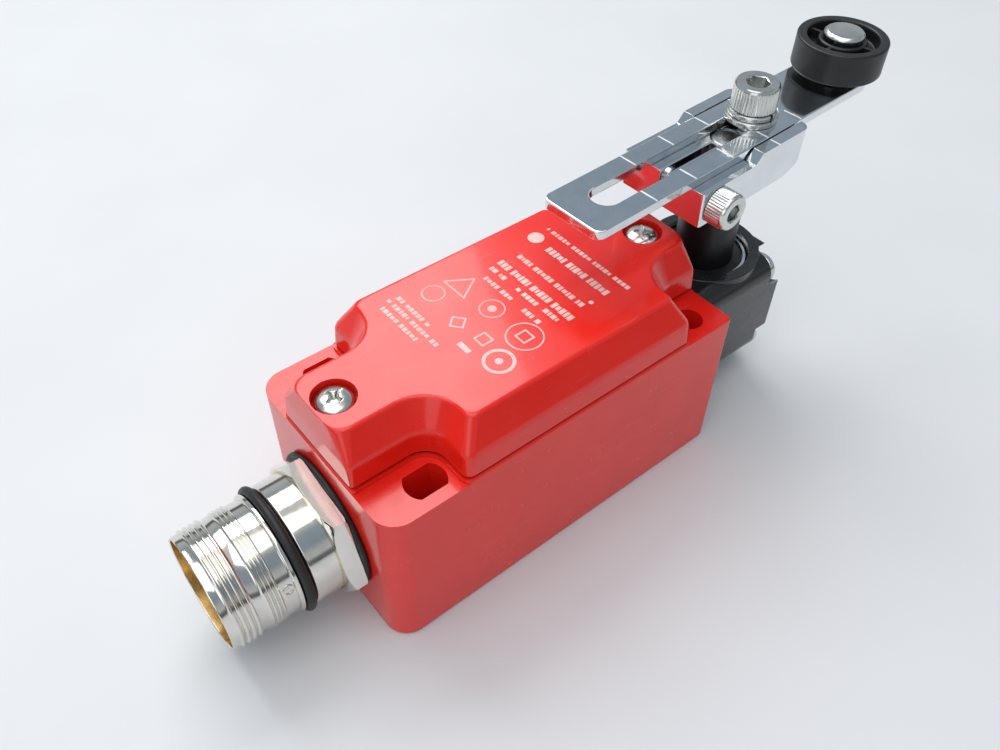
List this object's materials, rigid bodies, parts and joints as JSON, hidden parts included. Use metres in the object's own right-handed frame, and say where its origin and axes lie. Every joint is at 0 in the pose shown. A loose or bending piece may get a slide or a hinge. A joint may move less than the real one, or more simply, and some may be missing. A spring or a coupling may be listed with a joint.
{
  "type": "limit switch",
  "caption": "Metal-bodied limit switch with a round plug connector and an adjustable roller lever on a sprung side shaft.",
  "frame": {"origin": "centre of the 30 by 60 mm fixing pattern, on the mounting face at the back of the housing", "axes": "+Z from the mounting face up through the cover, along the lever shaft; +X from the connector towards the head; +Y across the housing"},
  "size_m": [0.1577, 0.04, 0.0668],
  "materials": {
    "red_paint": "gloss",
    "chrome": "polished",
    "nickel": "polished",
    "zinc": "satin",
    "steel": "satin",
    "black_paint": "satin",
    "black_plastic": "satin",
    "grey_plastic": "matte",
    "amber_plastic": "satin",
    "rubber": "matte",
    "brass": "satin",
    "gold": "polished",
    "wire_blue": "satin",
    "wire_earth": "satin"
  },
  "bodies": {
    "housing": {"housing_base": "red_paint", "cover": "red_paint", "cover_gasket": "rubber", "connector_seal": "rubber", "connector_o_ring": "rubber", "head_gasket": "rubber", "shaft_seal": "rubber", "cover_screw_connector_end": "zinc", "cover_screw_head_end": "zinc", "earth_screw": "zinc", "connector_shell": "nickel", "connector_insert": "amber_plastic", "connector_pin_1": "gold", "connector_pin_2": "gold", "connector_pin_3": "gold", "connector_pin_4": "gold", "connector_pin_5": "gold", "connector_pin_6": "gold", "connector_pin_7": "gold", "connector_pin_8": "gold", "connector_pin_9": "gold", "contact_block": "grey_plastic", "contact_spring": "steel", "return_spring": "steel", "fixed_contact_closed_near": "brass", "fixed_contact_open_near": "brass", "terminal_screw_closed_near": "zinc", "terminal_screw_open_near": "zinc", "contact_block_screw_near": "zinc", "lead_open_near": "wire_blue", "lead_closed_near": "wire_blue", "fixed_contact_closed_far": "brass", "fixed_contact_open_far": "brass", "terminal_screw_closed_far": "zinc", "terminal_screw_open_far": "zinc", "contact_block_screw_far": "zinc", "lead_open_far": "wire_blue", "lead_closed_far": "wire_blue", "lead_earth": "wire_earth", "head_housing": "black_paint", "head_screw_1": "zinc", "head_screw_2": "zinc", "head_screw_3": "zinc", "head_screw_4": "zinc", "shaft_bush": "black_plastic", "retaining_ring": "chrome"},
    "plunger": {"drive_plunger": "steel", "contact_carrier": "amber_plastic", "bridge_normally_closed": "brass", "bridge_normally_open": "brass"},
    "shaft": {"lever_shaft": "steel", "cam": "steel"},
    "hub": {"lever_hub": "chrome", "hub_clamp_screw": "zinc", "arm_bolt": "zinc", "lock_washer": "zinc", "flat_washer": "zinc"},
    "arm": {"lever_arm": "chrome", "roller_pin": "zinc"},
    "roller": {"roller": "black_plastic"}
  },
  "joints": [
    {"name": "lever_swing", "type": "hinge", "parent": "housing", "child": "shaft", "pos_m": [0.051, 0, 0.04], "axis": [0, 0, 1], "range_deg": [-75, 75], "stiffness_Nm_per_rad": 0.06},
    {"name": "lever_setting", "type": "hinge", "parent": "shaft", "child": "hub", "pos_m": [0.051, 0, 0.0527], "axis": [0, 0, 1], "continuous": true},
    {"name": "arm_slide", "type": "slide", "parent": "hub", "child": "arm", "axis": [0.9992, 0.0401, 0], "range_m": [-0.0035, 0.0385]},
    {"name": "roller_spin", "type": "hinge", "parent": "arm", "child": "roller", "pos_m": [0.08397, 0.00132, 0.062], "axis": [0, 0, 1], "continuous": true},
    {"name": "plunger_push", "type": "slide", "parent": "housing", "child": "plunger", "axis": [-1, 0, 0], "range_m": [0, 0.0025], "stiffness_N_per_m": 2000, "springref_m": -0.001, "deforming": ["contact_spring"]}
  ]
}
